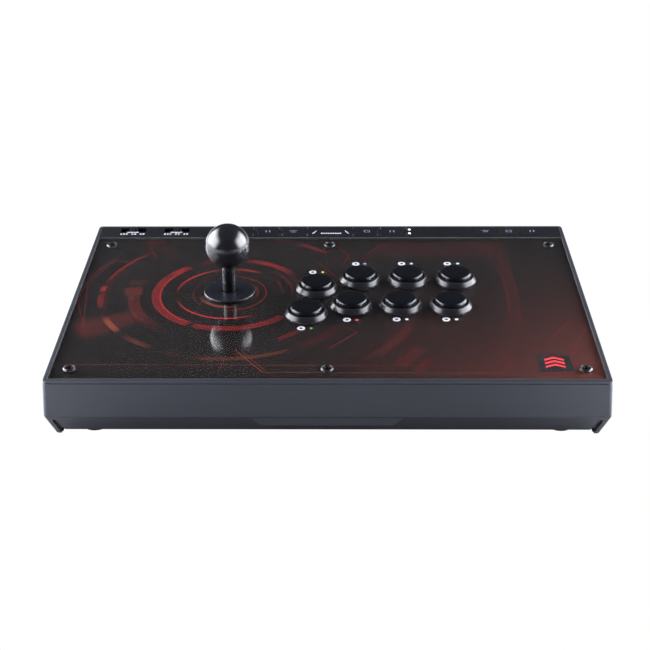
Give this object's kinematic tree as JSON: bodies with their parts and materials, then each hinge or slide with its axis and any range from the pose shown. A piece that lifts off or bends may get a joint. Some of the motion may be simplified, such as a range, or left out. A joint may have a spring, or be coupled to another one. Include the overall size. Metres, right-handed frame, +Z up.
{
  "type": "arcade joystick panel",
  "caption": "Low sloped arcade joystick panel: ball-top lever and arc of push buttons on a clear-covered printed top, with a control strip along the back.",
  "frame": {"origin": "centre of the object's outline, on the surface the feet stand on", "axes": "+X to the player's right along the case, +Y away from the player, +Z up"},
  "size_m": [0.4046, 0.266, 0.1125],
  "materials": {
    "housing": "satin moulded slate grey",
    "lower_housing": "satin moulded slate grey",
    "strip": "satin dark slate",
    "key": "satin dark slate",
    "clear_cover": "clear polished acrylic",
    "art_print": "dark print with red rings",
    "panel_steel": "plain sheet",
    "screw": "black oxide",
    "button": "polished black",
    "plunger": "smooth black",
    "ball": "polished black",
    "plated_steel": "plated",
    "nylon": "black moulded",
    "washer": "fine grained black",
    "rubber": "matt",
    "circuit_board": "solder mask",
    "wire": "wrapped",
    "light_guide": "frosted clear"
  },
  "bodies": {
    "root": {"art_sheet": "art_print", "bottom_housing": "lower_housing", "button_harness": "wire", "button_housing_1": "button", "button_housing_2": "button", "button_housing_3": "button", "button_housing_4": "button", "button_housing_5": "button", "button_housing_6": "button", "button_housing_7": "button", "button_housing_8": "button", "control_strip": "strip", "foot_1": "rubber", "foot_2": "rubber", "foot_3": "rubber", "foot_4": "rubber", "lever_harness": "wire", "lever_housing": "nylon", "lever_plate": "panel_steel", "lever_switch_board": "circuit_board", "main_board": "circuit_board", "panel_cover": "clear_cover", "panel_plate": "panel_steel", "panel_screw_1": "screw", "panel_screw_2": "screw", "panel_screw_3": "screw", "panel_screw_4": "screw", "panel_screw_5": "screw", "panel_screw_6": "screw", "restrictor_gate": "nylon", "status_light": "light_guide", "strip_board": "circuit_board", "top_housing": "housing", "usb_socket": "plated_steel"},
    "pivot": {"pivot_ball": "nylon"},
    "lever": {"lever_shaft": "plated_steel", "shaft_cover": "nylon", "ball_top": "ball", "lever_actuator": "nylon", "retaining_ring": "plated_steel", "return_spring": "plated_steel"},
    "shutter": {"dust_shutter": "nylon"},
    "washer": {"dust_washer": "washer"},
    "plunger_1": {"button_plunger_1": "plunger"},
    "plunger_2": {"button_plunger_2": "plunger"},
    "plunger_3": {"button_plunger_3": "plunger"},
    "plunger_4": {"button_plunger_4": "plunger"},
    "plunger_5": {"button_plunger_5": "plunger"},
    "plunger_6": {"button_plunger_6": "plunger"},
    "plunger_7": {"button_plunger_7": "plunger"},
    "plunger_8": {"button_plunger_8": "plunger"},
    "strip_key_1": {"strip_key_1": "key"},
    "strip_key_2": {"strip_key_2": "key"},
    "strip_key_3": {"strip_key_3": "key"},
    "strip_key_4": {"strip_key_4": "key"},
    "corner_key_1": {"corner_key_1": "key"},
    "corner_key_2": {"corner_key_2": "key"},
    "corner_key_3": {"corner_key_3": "key"},
    "slide_knob_1": {"slide_knob_1": "key"},
    "slide_knob_2": {"slide_knob_2": "key"}
  },
  "joints": [
    {"name": "tilt_left_right", "type": "hinge", "parent": "root", "child": "pivot", "pos_m": [-0.0785, 0.00745, 0.03821], "axis": [0, 0.9976, 0.0698], "range_deg": [-9, 9], "stiffness_Nm_per_rad": 0.3},
    {"name": "tilt_forward_back", "type": "hinge", "parent": "pivot", "child": "lever", "pos_m": [-0.0785, 0.00745, 0.03821], "axis": [1, 0, 0], "range_deg": [-9, 9], "stiffness_Nm_per_rad": 0.3},
    {"name": "shutter_slide", "type": "slide", "parent": "root", "child": "shutter", "axis": [1, 0, 0], "range_m": [-0.00285, 0.00285]},
    {"name": "washer_slide", "type": "slide", "parent": "shutter", "child": "washer", "axis": [0, -0.9976, -0.0698], "range_m": [-0.00285, 0.00285]},
    {"name": "press_1", "type": "slide", "parent": "root", "child": "plunger_1", "axis": [0, 0.0698, -0.9976], "range_m": [0, 0.0032], "stiffness_N_per_m": 150, "springref_m": -0.003},
    {"name": "press_2", "type": "slide", "parent": "root", "child": "plunger_2", "axis": [0, 0.0698, -0.9976], "range_m": [0, 0.0032], "stiffness_N_per_m": 150, "springref_m": -0.003},
    {"name": "press_3", "type": "slide", "parent": "root", "child": "plunger_3", "axis": [0, 0.0698, -0.9976], "range_m": [0, 0.0032], "stiffness_N_per_m": 150, "springref_m": -0.003},
    {"name": "press_4", "type": "slide", "parent": "root", "child": "plunger_4", "axis": [0, 0.0698, -0.9976], "range_m": [0, 0.0032], "stiffness_N_per_m": 150, "springref_m": -0.003},
    {"name": "press_5", "type": "slide", "parent": "root", "child": "plunger_5", "axis": [0, 0.0698, -0.9976], "range_m": [0, 0.0032], "stiffness_N_per_m": 150, "springref_m": -0.003},
    {"name": "press_6", "type": "slide", "parent": "root", "child": "plunger_6", "axis": [0, 0.0698, -0.9976], "range_m": [0, 0.0032], "stiffness_N_per_m": 150, "springref_m": -0.003},
    {"name": "press_7", "type": "slide", "parent": "root", "child": "plunger_7", "axis": [0, 0.0698, -0.9976], "range_m": [0, 0.0032], "stiffness_N_per_m": 150, "springref_m": -0.003},
    {"name": "press_8", "type": "slide", "parent": "root", "child": "plunger_8", "axis": [0, 0.0698, -0.9976], "range_m": [0, 0.0032], "stiffness_N_per_m": 150, "springref_m": -0.003},
    {"name": "strip_key_1_press", "type": "slide", "parent": "root", "child": "strip_key_1", "axis": [0, 0.0698, -0.9976], "range_m": [0, 0.0008], "stiffness_N_per_m": 500, "springref_m": -0.001},
    {"name": "strip_key_2_press", "type": "slide", "parent": "root", "child": "strip_key_2", "axis": [0, 0.0698, -0.9976], "range_m": [0, 0.0008], "stiffness_N_per_m": 500, "springref_m": -0.001},
    {"name": "strip_key_3_press", "type": "slide", "parent": "root", "child": "strip_key_3", "axis": [0, 0.0698, -0.9976], "range_m": [0, 0.0008], "stiffness_N_per_m": 500, "springref_m": -0.001},
    {"name": "strip_key_4_press", "type": "slide", "parent": "root", "child": "strip_key_4", "axis": [0, 0.0698, -0.9976], "range_m": [0, 0.0008], "stiffness_N_per_m": 500, "springref_m": -0.001},
    {"name": "corner_key_1_press", "type": "slide", "parent": "root", "child": "corner_key_1", "axis": [0, 0.0698, -0.9976], "range_m": [0, 0.0008], "stiffness_N_per_m": 500, "springref_m": -0.001},
    {"name": "corner_key_2_press", "type": "slide", "parent": "root", "child": "corner_key_2", "axis": [0, 0.0698, -0.9976], "range_m": [0, 0.0008], "stiffness_N_per_m": 500, "springref_m": -0.001},
    {"name": "corner_key_3_press", "type": "slide", "parent": "root", "child": "corner_key_3", "axis": [0, 0.0698, -0.9976], "range_m": [0, 0.0008], "stiffness_N_per_m": 500, "springref_m": -0.001},
    {"name": "slide_knob_1_shift", "type": "slide", "parent": "root", "child": "slide_knob_1", "axis": [1, 0, 0], "range_m": [-0.0055, 0.0055]},
    {"name": "slide_knob_2_shift", "type": "slide", "parent": "root", "child": "slide_knob_2", "axis": [1, 0, 0], "range_m": [-0.0055, 0.0055]}
  ],
  "couplings": [
    {"joint": "shutter_slide", "follows": "tilt_left_right", "m_per_rad": 0.0179},
    {"joint": "washer_slide", "follows": "tilt_forward_back", "m_per_rad": 0.0179}
  ]
}
